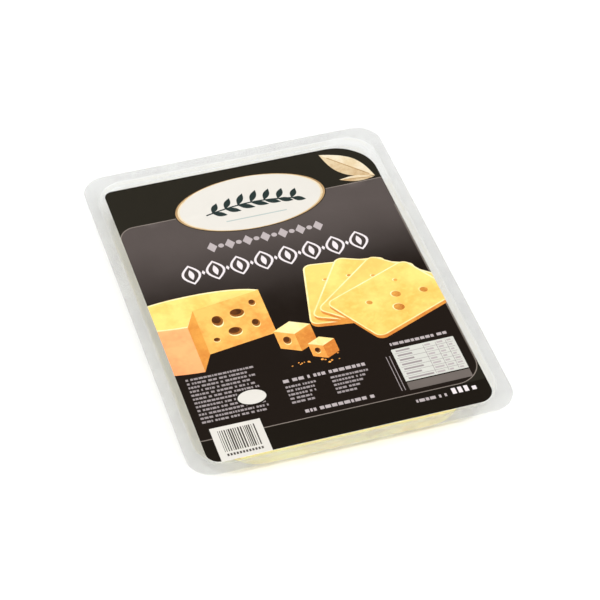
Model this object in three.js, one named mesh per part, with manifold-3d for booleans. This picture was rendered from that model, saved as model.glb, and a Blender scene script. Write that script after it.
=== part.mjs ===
// A sealed pack of sliced cheese: a clear thermoformed tray, the stack of slices that lies in it,
// the clear film sealed on its flange, and the label stuck on the film.
//
// Millimetres. +X runs across the label, +Y towards its top edge, +Z up. The origin is the middle
// of the tray's underside, on the surface that the pack lies on.

import * as THREE from "three";
import { mergeVertices } from "three/addons/utils/BufferGeometryUtils.js";
import Module from "manifold-3d";

const PACK = { width: 150, length: 200, height: 13, cornerRadius: 12 };

// Thickness of each sheet, and the play between two that lie on each other.
const SHEET = { tray: 0.45, film: 0.15, label: 0.15, play: 0.05 };

// The tray below its flange. An inset is measured from the pack's outline.
const CAVITY = {
  rimInset: 5.4,
  rimBend: 0.5,
  rimCornerRadius: 14,
  shoulderDepth: 2.6, // from the flange down to the ledge that stops stacked trays
  shoulderWidth: 0.6,
  shoulderFall: 0.3,
  draft: 0.2, // how far a wall leans inwards for each millimetre down
  footBend: 1.6,
  footBendSteps: 4,
  footCornerRadius: 16,
};

// The stiffening bead pressed up into the floor. The slices lie on it.
const BEAD = { inset: 21, width: 7, rise: 0.7, flank: 1.1, outerRadius: 10, innerRadius: 6 };

const CHEESE = {
  width: 112,
  length: 176,
  cornerRadius: 18,
  slices: 8,
  sliceThickness: 1.3,
  frontGap: 0.6, // to the tray's front wall
  groove: 0.9, // how deep the line between two slices runs in
  grooveHeight: 0.1,
  edgeRound: 0.3,
  stray: 0.45, // how far a slice lies off the stack's middle
  seed: 11,
};

// Round holes in the slices, as they show on the underside and along the edges.
const EYES = {
  onUnderside: 15,
  onEdges: 10,
  leastRadius: 3.2,
  mostRadius: 7.5,
  depth: 0.55, // as a share of the radius
  apart: 4,
  edgeSize: 0.7, // of the size of one on the underside
  edgeReach: 0.75, // of a side's length
  seed: 29,
};

const LABEL = {
  width: 132,
  length: 182,
  toFrontEdge: 6,
  topLeftRadius: 4,
  topRightRadius: 20,
  bottomLeftRadius: 6,
  bottomRightRadius: 7.5,
};

const CORNER_STEPS = 9;
const CLEAR_PLASTIC = { roughness: 0.12, metalness: 0 };

const labelTop = PACK.height;
const filmTop = labelTop - SHEET.label - SHEET.play;
const flangeTop = filmTop - SHEET.film - SHEET.play;
const flangeUnderside = flangeTop - SHEET.tray;

// The same run of numbers from 0 to 1 each time, for what is uneven.
function seededRandom(seed) {
  let state = seed;
  return () => {
    state = (state * 48271) % 2147483647;
    return state / 2147483647;
  };
}

// A closed ring of points round a rectangle with round corners, at one height.
function roundedRing(width, length, radius, z, centre = new THREE.Vector2()) {
  const ring = [];
  const corners = [[1, 1], [-1, 1], [-1, -1], [1, -1]];
  corners.forEach(([sideX, sideY], quarter) => {
    for (let step = 0; step <= CORNER_STEPS; step++) {
      const angle = (quarter + step / CORNER_STEPS) * (Math.PI / 2);
      const x = sideX * (width / 2 - radius) + radius * Math.cos(angle);
      const y = sideY * (length / 2 - radius) + radius * Math.sin(angle);
      ring.push(new THREE.Vector3(x + centre.x, y + centre.y, z));
    }
  });
  return ring;
}

// A ring inside the pack's outline.
function insetRing(inset, radius, z) {
  return roundedRing(PACK.width - 2 * inset, PACK.length - 2 * inset, radius, z);
}

// One closed body through a row of rings, the first and the last closed by a fan of triangles.
function loft(rings) {
  const count = rings[0].length;
  const points = rings.flat();
  const faces = [];
  for (let level = 0; level + 1 < rings.length; level++) {
    for (let i = 0; i < count; i++) {
      const next = (i + 1) % count;
      const [a, b] = [level * count + i, level * count + next];
      faces.push(a, b, b + count, a, b + count, a + count);
    }
  }
  [rings[0], rings.at(-1)].forEach((ring, end) => {
    const middle = points.length;
    points.push(ring.reduce((sum, p) => sum.add(p), new THREE.Vector3()).divideScalar(count));
    const first = end * (rings.length - 1) * count;
    for (let i = 0; i < count; i++) {
      const [a, b] = [first + i, first + ((i + 1) % count)];
      faces.push(middle, ...(end ? [a, b] : [b, a]));
    }
  });
  const geometry = new THREE.BufferGeometry().setFromPoints(points);
  geometry.setIndex(faces);
  return geometry;
}

// How far in the wall stands where the foot's bend starts, on the outer skin.
const shoulderZ = flangeUnderside - CAVITY.shoulderDepth;
const shoulderOut = CAVITY.rimInset + CAVITY.draft * (CAVITY.shoulderDepth - CAVITY.rimBend);
const shoulderIn = shoulderOut + CAVITY.shoulderWidth;
const wallHeight = shoulderZ - CAVITY.shoulderFall - CAVITY.footBend;
const footInset = shoulderIn + CAVITY.draft * wallHeight;

// The tray's section as steps of { inset, radius, z }, from the middle of the floor out to the
// flange's edge. The outer skin has lift 0, and the inner skin lies one sheet further in and up.
function traySkin(lift) {
  const { rimInset, rimBend, rimCornerRadius, footBend, footBendSteps, footCornerRadius } = CAVITY;
  const { inset, width, rise, flank, outerRadius, innerRadius } = BEAD;
  const steps = [
    { inset: inset + width, radius: innerRadius, z: lift },
    { inset: inset + width - flank, radius: innerRadius + flank / 2, z: rise + lift },
    { inset: inset + flank, radius: outerRadius - flank / 2, z: rise + lift },
    { inset, radius: outerRadius, z: lift },
  ];
  const bend = footBend - lift / 2;
  const wallAngle = Math.PI / 2 - Math.atan(CAVITY.draft);
  for (let step = 0; step <= footBendSteps; step++) {
    const angle = (step / footBendSteps) * wallAngle;
    const inFromWall = bend * (1 - Math.sin(angle));
    steps.push({
      inset: footInset + lift + inFromWall,
      radius: footCornerRadius - inFromWall / 2,
      z: lift + bend * (1 - Math.cos(angle)),
    });
  }
  const rimRadius = rimCornerRadius - lift / 2;
  const underFlange = flangeUnderside + lift;
  steps.push(
    { inset: shoulderIn + lift, radius: rimRadius + 0.5, z: shoulderZ + lift - CAVITY.shoulderFall },
    { inset: shoulderOut + lift, radius: rimRadius, z: shoulderZ + lift },
    { inset: rimInset + lift, radius: rimRadius, z: underFlange - rimBend },
    { inset: rimInset + lift - rimBend, radius: rimRadius + rimBend, z: underFlange },
    { inset: 0, radius: PACK.cornerRadius, z: underFlange },
  );
  return steps;
}

function trayGeometry() {
  const skins = [...traySkin(0), ...traySkin(SHEET.tray).reverse()];
  return loft(skins.map(({ inset, radius, z }) => insetRing(inset, radius, z)));
}

function solidOf(wasm, geometry) {
  const bare = new THREE.BufferGeometry().setAttribute("position", geometry.attributes.position);
  bare.setIndex(geometry.index);
  const merged = mergeVertices(bare, 1e-3);
  const vertProperties = merged.attributes.position.array;
  const triVerts = new Uint32Array(merged.index.array);
  return new wasm.Manifold(new wasm.Mesh({ numProp: 3, vertProperties, triVerts }));
}

function geometryOf(solid) {
  const { vertProperties, triVerts } = solid.getMesh();
  const geometry = new THREE.BufferGeometry();
  geometry.setAttribute("position", new THREE.BufferAttribute(vertProperties, 3));
  geometry.setIndex(new THREE.BufferAttribute(triVerts, 1));
  return geometry;
}

const cheeseBottom = BEAD.rise + SHEET.tray + SHEET.play;
const cheeseFront = -PACK.length / 2 + footInset + SHEET.tray + CHEESE.frontGap;
const cheeseMiddle = new THREE.Vector2(0, cheeseFront + CHEESE.length / 2);

// The slices as one stepped body: each lies a little off the one below, with a line between them.
function sliceStack() {
  const { width, length, cornerRadius, slices, sliceThickness } = CHEESE;
  const { groove, grooveHeight, edgeRound } = CHEESE;
  const random = seededRandom(CHEESE.seed);
  const rings = [];
  const ringAt = (inset, z, centre) => {
    const radius = cornerRadius - inset;
    rings.push(roundedRing(width - 2 * inset, length - 2 * inset, radius, z, centre));
  };
  for (let slice = 0; slice < slices; slice++) {
    const bottom = cheeseBottom + slice * sliceThickness;
    const top = bottom + sliceThickness - grooveHeight;
    const stray = new THREE.Vector2((random() - 0.5) * 2, random()).multiplyScalar(CHEESE.stray);
    const centre = cheeseMiddle.clone().add(stray);
    if (slice > 0) {
      ringAt(groove, bottom - grooveHeight / 2, cheeseMiddle);
    }
    ringAt(edgeRound, bottom, centre);
    ringAt(0, bottom + edgeRound, centre);
    ringAt(0, top - edgeRound, centre);
    ringAt(edgeRound, top, centre);
  }
  return loft(rings);
}

// A flattened ball that scoops one eye out of the stack.
function eye(x, y, z, radius, depth) {
  const ball = new THREE.SphereGeometry(1, 12, 7);
  ball.scale(radius, radius * 0.85, depth);
  ball.translate(x, y, z);
  return ball;
}

// Eyes spread over the underside, no two touching, then eyes that open at the stack's sides.
function eyePlaces() {
  const { width, length, cornerRadius, slices, sliceThickness } = CHEESE;
  const random = seededRandom(EYES.seed);
  const between = (low, high) => low + (high - low) * random();
  const size = () => EYES.leastRadius + (EYES.mostRadius - EYES.leastRadius) * random() ** 1.6;
  const places = [];
  const reachX = (width - cornerRadius) / 2;
  const reachY = (length - cornerRadius) / 2;
  while (places.length < EYES.onUnderside) {
    const radius = size();
    const x = between(-reachX, reachX);
    const y = cheeseMiddle.y + between(-reachY, reachY);
    const isFree = (p) => Math.hypot(p.x - x, p.y - y) > p.radius + radius + EYES.apart;
    if (places.every(isFree)) {
      places.push({ x, y, z: cheeseBottom, radius, depth: radius * EYES.depth });
    }
  }
  for (let i = 0; i < EYES.onEdges; i++) {
    const side = i % 4;
    const sign = side % 2 ? 1 : -1;
    const share = between(-EYES.edgeReach, EYES.edgeReach) / 2;
    const onEnd = side < 2;
    const slice = 1.5 + Math.floor(between(0, slices - 3));
    places.push({
      x: onEnd ? share * width : (sign * width) / 2,
      y: cheeseMiddle.y + (onEnd ? (sign * length) / 2 : share * length),
      z: cheeseBottom + slice * sliceThickness,
      radius: size() * EYES.edgeSize,
      depth: sliceThickness * between(1, 2),
    });
  }
  return places;
}

async function cheeseGeometry() {
  const wasm = await Module();
  wasm.setup();
  let stack = solidOf(wasm, sliceStack());
  for (const { x, y, z, radius, depth } of eyePlaces()) {
    stack = stack.subtract(solidOf(wasm, eye(x, y, z, radius, depth)));
  }
  return geometryOf(stack);
}

// A flat sheet with its own radius at each corner, from the top right one anticlockwise.
function sheetGeometry(width, length, radii, thickness) {
  const outline = new THREE.Shape();
  const corners = [[1, 1], [-1, 1], [-1, -1], [1, -1]];
  corners.forEach(([sideX, sideY], quarter) => {
    const radius = radii[quarter];
    const x = sideX * (width / 2 - radius);
    const y = sideY * (length / 2 - radius);
    const start = (quarter * Math.PI) / 2;
    outline.absarc(x, y, radius, start, start + Math.PI / 2, false);
  });
  const options = { depth: thickness, bevelEnabled: false, curveSegments: CORNER_STEPS };
  return new THREE.ExtrudeGeometry(outline, options);
}

function topFilmGeometry() {
  const radii = Array(4).fill(PACK.cornerRadius);
  return sheetGeometry(PACK.width, PACK.length, radii, SHEET.film);
}

function labelGeometry() {
  const { topRightRadius, topLeftRadius, bottomLeftRadius, bottomRightRadius } = LABEL;
  const radii = [topRightRadius, topLeftRadius, bottomLeftRadius, bottomRightRadius];
  return sheetGeometry(LABEL.width, LABEL.length, radii, SHEET.label);
}

function piece(name, geometry, finish) {
  const mesh = new THREE.Mesh(geometry, new THREE.MeshStandardMaterial(finish));
  mesh.name = name;
  return mesh;
}

const pack = new THREE.Group();

const tray = piece("tray", trayGeometry(), { color: 0xdfe2df, ...CLEAR_PLASTIC });

const cheeseFinish = { color: 0xf0e3a6, roughness: 0.5, metalness: 0 };
const cheeseSlices = piece("cheese_slices", await cheeseGeometry(), cheeseFinish);

const topFilm = piece("top_film", topFilmGeometry(), { color: 0xe9ebea, ...CLEAR_PLASTIC });
topFilm.position.z = filmTop - SHEET.film;

const labelFinish = { color: 0x2b2725, roughness: 0.35, metalness: 0 };
const label = piece("label", labelGeometry(), labelFinish);
label.position.y = -PACK.length / 2 + LABEL.toFrontEdge + LABEL.length / 2;
label.position.z = labelTop - SHEET.label;

pack.add(tray, cheeseSlices, topFilm, label);

export default pack;
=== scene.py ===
"""A sealed pack of sliced cheese: a clear tray, its slices, the clear film and the printed label.

It is laid out as an add-on and run as a script. Each piece has an operator of its own, and the
3D view's sidebar lists them. Outlines are worked out in millimetres, and meshes are in metres.
"""

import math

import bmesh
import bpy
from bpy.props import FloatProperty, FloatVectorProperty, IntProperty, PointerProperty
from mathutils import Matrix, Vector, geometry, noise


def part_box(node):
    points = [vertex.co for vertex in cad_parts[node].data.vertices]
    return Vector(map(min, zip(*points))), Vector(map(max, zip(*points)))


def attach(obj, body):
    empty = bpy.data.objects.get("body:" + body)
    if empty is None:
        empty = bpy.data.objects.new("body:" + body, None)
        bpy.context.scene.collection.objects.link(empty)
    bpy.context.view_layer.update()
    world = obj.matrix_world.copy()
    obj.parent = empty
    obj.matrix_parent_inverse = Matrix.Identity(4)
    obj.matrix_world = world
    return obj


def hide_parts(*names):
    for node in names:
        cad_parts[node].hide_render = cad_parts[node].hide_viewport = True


bl_info = {
    "name": "Sealed Pack of Sliced Cheese",
    "version": (1, 0, 0),
    "blender": (4, 5, 0),
    "location": "3D View > Sidebar > Cheese Pack",
    "description": "Builds a clear tray with slices of cheese, its film, its label and a stage",
    "category": "Object",
}

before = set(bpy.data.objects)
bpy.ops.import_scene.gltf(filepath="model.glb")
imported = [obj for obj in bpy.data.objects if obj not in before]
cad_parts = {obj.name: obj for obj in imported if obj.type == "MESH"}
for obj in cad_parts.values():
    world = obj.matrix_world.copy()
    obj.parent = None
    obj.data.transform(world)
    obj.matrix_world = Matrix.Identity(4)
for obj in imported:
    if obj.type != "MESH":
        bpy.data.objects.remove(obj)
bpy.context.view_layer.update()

BODY = "root"
MM = 0.001


def box_in_mm(node):
    """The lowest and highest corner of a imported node, in millimetres."""
    return [[round(value / MM, 3) for value in corner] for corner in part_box(node)]


TRAY_LOW, TRAY_HIGH = box_in_mm("tray")
FILM_LOW, FILM_HIGH = box_in_mm("top_film")
LABEL_LOW, LABEL_HIGH = box_in_mm("label")
CHEESE_BOTTOM = box_in_mm("cheese_slices")[0][2]

# The pack and its tray. An inset is measured from the pack's outline.
PACK_WIDTH = TRAY_HIGH[0] - TRAY_LOW[0]
PACK_LENGTH = TRAY_HIGH[1] - TRAY_LOW[1]
PACK_CORNER = 12
FLANGE_TOP = TRAY_HIGH[2]
TRAY_SHEET = 0.45
RIM_INSET = 5.4
RIM_BEND = 0.5
RIM_CORNER = 14
SHOULDER_DEPTH = 2.6
SHOULDER_WIDTH = 0.6
SHOULDER_FALL = 0.3
# The shoulder's soft edges, as what they add to an inset, to the rim's radius and to a height.
SHOULDER_INNER_EDGE = ((0, 0.5, -SHOULDER_FALL), (-0.2, 0.35, -0.08))
SHOULDER_OUTER_EDGE = ((0.12, 0.1, 0), (0, 0, 0.12))
DRAFT = 0.2  # how far a wall leans out for each millimetre of its height
FOOT_BEND = 1.6
FOOT_CORNER = 16
BEAD = {"inset": 21, "width": 7, "rise": 0.7, "flank": 1.1, "outer": 10, "inner": 6}
WALL_LUMP = 14  # the size of the walls' waves
WALL_FADE = 2  # how far above the foot and below the flange the waves fade out
PEEL_LINE = 113  # from the pack's middle to the peel groove, along the diagonal
PEEL_WIDTH = 0.7

# The slices of cheese and their eyes.
SLICES = 8
SLICE_PITCH = 1.3
SLICE_GAP = 0.1
SLICE_WIDTH = 112
SLICE_LENGTH = 176
SLICE_CORNER = 18
SLICE_STRAY = 0.45
SLICE_SEED = 11
STACK_MIDDLE = (0, -3)
RAGGED, RAGGED_LUMP = 0.16, 9  # how uneven a cut edge is, and the size of its lumps
CRUMBLED, CRUMBLED_LUMP = 0.05, 2  # the same of its finer unevenness
EYES = {"under": 15, "edge": 10, "least": 3.2, "most": 7.5, "depth": 0.55, "apart": 4}
EYE_EDGE_SIZE = 0.7  # the size of the eyes in the sides, against those underneath
EYE_EDGE_REACH = 0.75  # the share of a side that they stand on
EYE_LENGTH = 0.85  # as a share of an eye's width
EYE_SWELL = 0.05
EYE_SEED = 29

# The film, which is held along its rim and creased near the corner that is pulled open.
SAG_REACH = 22  # from the rim to where the film hangs freely
RIPPLE, FINE_RIPPLE = 34, 15  # the sizes of the film's waves
PEEL_CORNER = (66, 80)
CREASE_REACH = 9
CREASE_PITCH = 3.2
CREASE_WAY = (0.92, 0.39)
CREASED_AREA = ((54, 62), (74, 99))
SHEET_SPACING, CREASED_SPACING, LABEL_SPACING = 3, 0.7, 4  # between a sheet's loose points

# The label. A place on its print is (u, v), measured from its left and its top edge.
LABEL_WIDTH = LABEL_HIGH[0] - LABEL_LOW[0]
LABEL_LENGTH = LABEL_HIGH[1] - LABEL_LOW[1]
LABEL_MIDDLE = (0, (LABEL_LOW[1] + LABEL_HIGH[1]) / 2)
LABEL_CORNERS = (20, 4, 6, 7.5)  # top right, then anticlockwise
BLEED = 3  # how far a field of ink runs past the label's edge
PANEL_TOP, PANEL_FOOT, PANEL_RIGHT = 27.6, 168, 131.3
PANEL_CORNER_TOP, PANEL_CORNER_FOOT = 8, 12
PANEL_LINE = 0.45
PANEL_LIGHT_Y, PANEL_DARK_Y = 50, -14  # where the panel's ink is lightest and darkest
PANEL_MIDDLE_X, PANEL_REACH = 8, 70
OVAL_PLACE = (66, 26)
OVAL_SIZE = (37, 18.5)
# The oval's rims from the outside in: how far each lies inside its size, and its ink.
OVAL_RIMS = (
    (-0.5, -0.5, "ground"), (0, 0, "gilt"), (1.1, 0.25, "ivory"), (2.1, 0.5, "oval"))
DRAWN_FALL = (78, 132)  # between which the drawn pieces' inks deepen
WHEEL_HOLES = (
    (28, 99, 2.6, 3.3), (38, 96.5, 3.4, 2.6), (46.5, 92, 1.6, 1.9),
    (34, 107.5, 3.2, 2.5), (44.5, 105, 1.9, 2.4), (24.5, 110.5, 1.5, 1.3))
FAN_PIVOT = (87, 116.5)
FAN_TURNS = (-80, -62, -44, -26)
FAN_SIDE, FAN_CORNER, FAN_RIM = 49, 4, 0.8
FAN_BREADTH = 0.8  # of a slice, as a share of its side
FAN_SLANT = 0.8  # how much the drawing shortens the slices from top to foot
FAN_HOLES = ((0.72, -0.2), (0.45, 0.16), (0.8, 0.12), (0.3, -0.1), (0.57, -0.02))
LINE_PITCH, SMALL_HEIGHT, HEADING_HEIGHT = 2.4, 1.2, 1.9  # of the small print
TABLE_LEFT, TABLE_RIGHT, TABLE_TOP, TABLE_FOOT = 97.3, 127, 139.5, 160
TABLE_ROWS = 7
TABLE_COLUMNS = (0.04, 0.5, 0.7, 0.86, 1)  # as shares of its width

# The stage. The lights' places and sizes are in metres.
CARD_DIRECTION = (0.229, 0.679, 0.698)  # from the pack
CARD_EDGE = (0.72, 0.93)  # the cosines between which the card fades into the surround
HORIZON_EDGE = (0.1, 0.5)  # the heights between which the horizon fades into the surround
KEY_PLACE = (0.75, -0.25, 1.0)
KEY_SPREAD = math.radians(50)
FILL_PLACE = (-0.1, -1.0, 0.5)
FILL_SPREAD = math.radians(60)
BACK_PLACE = (-0.35, 0.28, 0.2)
BACK_SIZE = 0.25
FLOOR_REACH, FLOOR_DROP = 6000, 0.1
CAMERA_TARGET = (2.00, -9.28)
SENSOR_WIDTH = 36

# How many steps each stretch of an outline or a section has.
CORNER_STEPS = 22
SIDE_STEPS = 24
FLANGE_STEPS = 9
WALL_STEPS = 5
FOOT_STEPS = 8
RIM_STEPS = 5
FLANK_STEPS = 4
SLICE_SIDE_STEPS = 40
SLICE_EDGE_STEPS = 4
OVAL_STEPS = 72
HOLE_STEPS = 18


# Colours and settings


def linear(red, green, blue):
    """A colour of 0 to 255 a channel as linear light."""
    parts = [channel / 255 for channel in (red, green, blue)]
    return tuple(p / 12.92 if p <= 0.04045 else ((p + 0.055) / 1.055) ** 2.4 for p in parts)


def length_setting(name, description, default_mm, most_mm=400):
    """A length that the user can change, held in metres."""
    return FloatProperty(
        name=name, description=description, default=default_mm * MM, min=0, max=most_mm * MM,
        subtype="DISTANCE", unit="LENGTH", precision=5)


def share_setting(name, description, default):
    """A share from 0 to 1 that the user can change."""
    return FloatProperty(
        name=name, description=description, default=default, min=0, max=1, subtype="FACTOR")


def colour_setting(name, description, default):
    """A colour that the user can change."""
    return FloatVectorProperty(
        name=name, description=description, default=default, min=0, max=1, size=3,
        subtype="COLOR")


def angle_setting(name, description, degrees):
    """An angle that the user can change."""
    return FloatProperty(
        name=name, description=description, default=math.radians(degrees), subtype="ANGLE",
        unit="ROTATION")


def strength_setting(name, description, default):
    """A light's strength that the user can change."""
    return FloatProperty(name=name, description=description, default=default, min=0, max=20)


class PackTraySettings(bpy.types.PropertyGroup):
    """The clear thermoformed tray."""

    wall_waviness: length_setting("Wall waviness", "How uneven the formed walls are", 0.06, 1)
    peel_groove: length_setting(
        "Peel groove", "Depth of the groove across the corner that is pulled open", 0.3, 1)
    tint: colour_setting("Tint", "What the clear sheet lets through", (0.985, 0.987, 0.985))
    haze_colour: colour_setting("Haze", "Colour of the sheet's haze", (0.88, 0.88, 0.87))
    haze: share_setting("Haze amount", "How milky one skin of the sheet is", 0.03)


class PackFilmSettings(bpy.types.PropertyGroup):
    """The clear film sealed on the flange."""

    sag: length_setting("Sag", "How far the film hangs in the middle", 0.3, 1)
    ripple: length_setting("Ripple", "How far the film's waves rise and fall", 0.07, 1)
    crease: length_setting("Crease", "Depth of the creases at the peel corner", 0.09, 1)
    tint: colour_setting("Tint", "What the film lets through", (0.985, 0.987, 0.985))
    haze_colour: colour_setting("Haze", "Colour of the film's haze", (0.88, 0.88, 0.87))
    haze: share_setting("Haze amount", "How milky one skin of the film is", 0.05)
    seal_colour: colour_setting("Seal", "Colour of the sealed band", (0.66, 0.655, 0.645))
    seal_haze: share_setting("Seal haze", "How milky one skin of the sealed band is", 0.15)


class PackCheeseSettings(bpy.types.PropertyGroup):
    """The slices in the tray."""

    slices: IntProperty(
        name="Slices", description="How many slices lie in the tray", default=SLICES, min=1,
        max=SLICES)
    thickness: length_setting("Slice thickness", "Thickness of one slice", SLICE_PITCH, 10)
    edge_round: length_setting("Edge", "How round a slice's cut edge is", 0.3, 0.6)
    colour: colour_setting("Cheese", "Colour of the cut face", linear(252, 236, 150))
    deep_colour: colour_setting(
        "Deeper cheese", "Colour of its deeper patches", linear(249, 225, 124))
    # A little deeper than the cut face: partly the eyes' own colour, partly painted shade in the
    # hollows.
    eye_colour: colour_setting("Eye", "Colour of an eye's wall", linear(249, 228, 138))


class PackLabelSettings(bpy.types.PropertyGroup):
    """The printed label and its inks."""

    ground: colour_setting("Ground", "Ink of the band across the top", linear(37, 34, 27))
    foot: colour_setting("Foot", "Ink of the band along the front", linear(25, 20, 14))
    panel: colour_setting("Panel", "Ink of the panel's dark lower part", linear(28, 21, 16))
    panel_light: colour_setting("Panel light", "Ink of its lighter part", linear(86, 78, 75))
    outline: colour_setting("Outline", "The thin line round the panel", linear(132, 122, 114))
    oval: colour_setting("Oval", "Ink of the oval", linear(215, 211, 203))
    gilt: colour_setting("Gilt", "Ink of the oval's rim", linear(180, 148, 106))
    title: colour_setting("Title", "Ink of the row of ornaments", linear(224, 216, 217))
    small: colour_setting("Small marks", "Ink of the small marks", linear(152, 143, 143))
    rind: colour_setting("Printed rind", "Ink of the drawn rind", linear(247, 178, 117))
    amber: colour_setting("Printed amber", "Ink of the drawn cut faces", linear(243, 190, 100))
    yellow: colour_setting("Printed yellow", "Ink of the drawn slices", linear(249, 216, 122))
    cream: colour_setting("Printed cream", "Ink of the lightest faces", linear(251, 233, 178))


class PackStageSettings(bpy.types.PropertyGroup):
    """The floor, the lights and the camera."""

    floor: colour_setting("Floor", "Colour of the floor", (0.97, 0.97, 0.97))
    surround: strength_setting("Surround", "Light from above, all round", 1.12)
    horizon: strength_setting("Horizon", "Light from low down, all round", 0.55)
    card: strength_setting("Dark card", "Light from the card behind the pack", 0.06)
    key: strength_setting("Key light", "Strength of the light from the right", 0.9)
    fill: strength_setting("Fill light", "Strength of the light from the front", 1.6)
    back: strength_setting("Back light", "Strength of the near light from behind", 0.4)
    azimuth: angle_setting("Azimuth", "The camera's place round the pack", -18.64)
    elevation: angle_setting("Elevation", "The camera's height over the pack", 44.26)
    roll: angle_setting("Roll", "The camera's tilt", 1.20)
    distance: length_setting("Distance", "From the camera to the label", 1093.3, 9000)
    lens: FloatProperty(
        name="Lens", description="Focal length on a 36 mm sensor", default=143.04, min=10,
        max=400, subtype="DISTANCE_CAMERA", unit="CAMERA")


class PackSettings(bpy.types.PropertyGroup):
    """All settings of the pack."""

    tray: PointerProperty(type=PackTraySettings)
    film: PointerProperty(type=PackFilmSettings)
    cheese: PointerProperty(type=PackCheeseSettings)
    label: PointerProperty(type=PackLabelSettings)
    stage: PointerProperty(type=PackStageSettings)


# Small sums


def smooth_step(value):
    """0 below 0, 1 above 1, and a soft rise between."""
    value = min(max(value, 0), 1)
    return value * value * (3 - 2 * value)


def shares(steps, first=0):
    """Even shares up to 1. The first one is 0 unless some are left out."""
    return [step / steps for step in range(first, steps + 1)]


def seeded_draws(seed):
    """The same run of numbers from 0 to 1 each time, for what is uneven."""
    state = seed
    while True:
        state = state * 48271 % 2147483647
        yield state / 2147483647


def uneven(x, y, z, size):
    """Soft noise from about -1 to 1, with lumps of a size in millimetres."""
    return noise.noise(Vector((x, y, z)) / size)


# Outlines


def arc(centre, half_sizes, start, end, steps=16):
    """Points along an ellipse, from one angle in degrees to another."""
    (x, y), (half_x, half_y) = centre, half_sizes
    points = []
    for share in shares(steps):
        angle = math.radians(start + (end - start) * share)
        points.append((x + half_x * math.cos(angle), y + half_y * math.sin(angle)))
    return points


def round_rectangle(width, length, radii, centre=(0, 0), steps=CORNER_STEPS, side_steps=1):
    """An outline with its own radius at each corner, from the top right one anticlockwise."""
    arcs = []
    for quarter, (side_x, side_y) in enumerate(((1, 1), (-1, 1), (-1, -1), (1, -1))):
        radius = radii[quarter]
        x = centre[0] + side_x * (width / 2 - radius)
        y = centre[1] + side_y * (length / 2 - radius)
        arcs.append(arc((x, y), (radius, radius), 90 * quarter, 90 * quarter + 90, steps))
    outline = []
    for corner, next_corner in zip(arcs, arcs[1:] + arcs[:1]):
        end, start = Vector(corner[-1]), Vector(next_corner[0])
        outline += corner
        outline += [tuple(end.lerp(start, share)) for share in shares(side_steps, 1)[:-1]]
    return outline


def inset_ring(inset, radius, z):
    """A ring of points inside the pack's outline, at one height."""
    outline = round_rectangle(
        PACK_WIDTH - 2 * inset, PACK_LENGTH - 2 * inset, (radius,) * 4, side_steps=SIDE_STEPS)
    return [(x, y, z) for x, y in outline]


def turned_left(outline):
    """The outline with its points in anticlockwise order."""
    area = sum(a[0] * b[1] - b[0] * a[1] for a, b in zip(outline, outline[1:] + outline[:1]))
    return outline if area > 0 else outline[::-1]


def grid_points(low, high, spacing):
    """Points spread evenly over a rectangle, clear of its sides."""
    counts = [max(2, round((high[i] - low[i]) / spacing)) for i in (0, 1)]
    return [
        (low[0] + (high[0] - low[0]) * i / counts[0], low[1] + (high[1] - low[1]) * j / counts[1])
        for i in range(1, counts[0]) for j in range(1, counts[1])
    ]


# Meshes


def loft(rings):
    """Faces of a closed body through a row of rings, each with as many points."""
    count = len(rings[0])
    points = [point for ring in rings for point in ring]
    faces = []
    for level in range(len(rings) - 1):
        for i in range(count):
            a = level * count + i
            b = level * count + (i + 1) % count
            faces.append((a, b, b + count, a + count))
    faces.append(tuple(reversed(range(count))))
    faces.append(tuple(range(len(points) - count, len(points))))
    return points, faces


def mesh_object(name, points, faces, materials, face_slots=None, sharp_angle=40):
    """An object from points in millimetres, with smooth faces that part at sharp edges."""
    mesh = bpy.data.meshes.new(name)
    mesh.from_pydata([Vector(point) * MM for point in points], [], faces)
    for material in materials:
        mesh.materials.append(material)
    if face_slots:
        mesh.polygons.foreach_set("material_index", face_slots)
    mesh.validate()
    piece = bpy.data.objects.new(name, mesh)
    bpy.context.scene.collection.objects.link(piece)
    smooth_faces(mesh, sharp_angle)
    return piece


def smooth_faces(mesh, sharp_angle=40):
    """Shades a mesh smooth, apart from edges sharper than the angle in degrees."""
    mesh.polygons.foreach_set("use_smooth", [True] * len(mesh.polygons))
    mesh.set_sharp_from_angle(angle=math.radians(sharp_angle))
    mesh.update()


def finish_piece(piece, slot, *nodes):
    """Puts a finished piece on the pack's body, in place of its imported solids."""
    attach(piece, BODY)
    if nodes:
        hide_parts(*nodes)


def split_fields(fields, loose_points):
    """Splits a sheet into triangles along the edges of the fields on it.

    fields holds (outline, ink) pairs. The first is the sheet itself, and what runs past it is cut
    off. A later field lies over an earlier one. Gives points, triangles and their inks.
    """
    points = []
    faces = []
    for outline, _ink in fields:
        faces.append(list(range(len(points), len(points) + len(outline))))
        points += turned_left(list(outline))
    points += loose_points
    made = geometry.delaunay_2d_cdt([Vector(p) for p in points], [], faces, 1, 1e-4, True)
    corners, _edges, triangles, _from_points, _from_edges, from_faces = made
    kept = [(t, max(found)) for t, found in zip(triangles, from_faces) if 0 in found]
    used = sorted({i for triangle, _top in kept for i in triangle})
    place = {old: new for new, old in enumerate(used)}
    flat = [tuple(corners[i]) for i in used]
    return flat, [[place[i] for i in t] for t, _ in kept], [fields[top][1] for _, top in kept]


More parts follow.
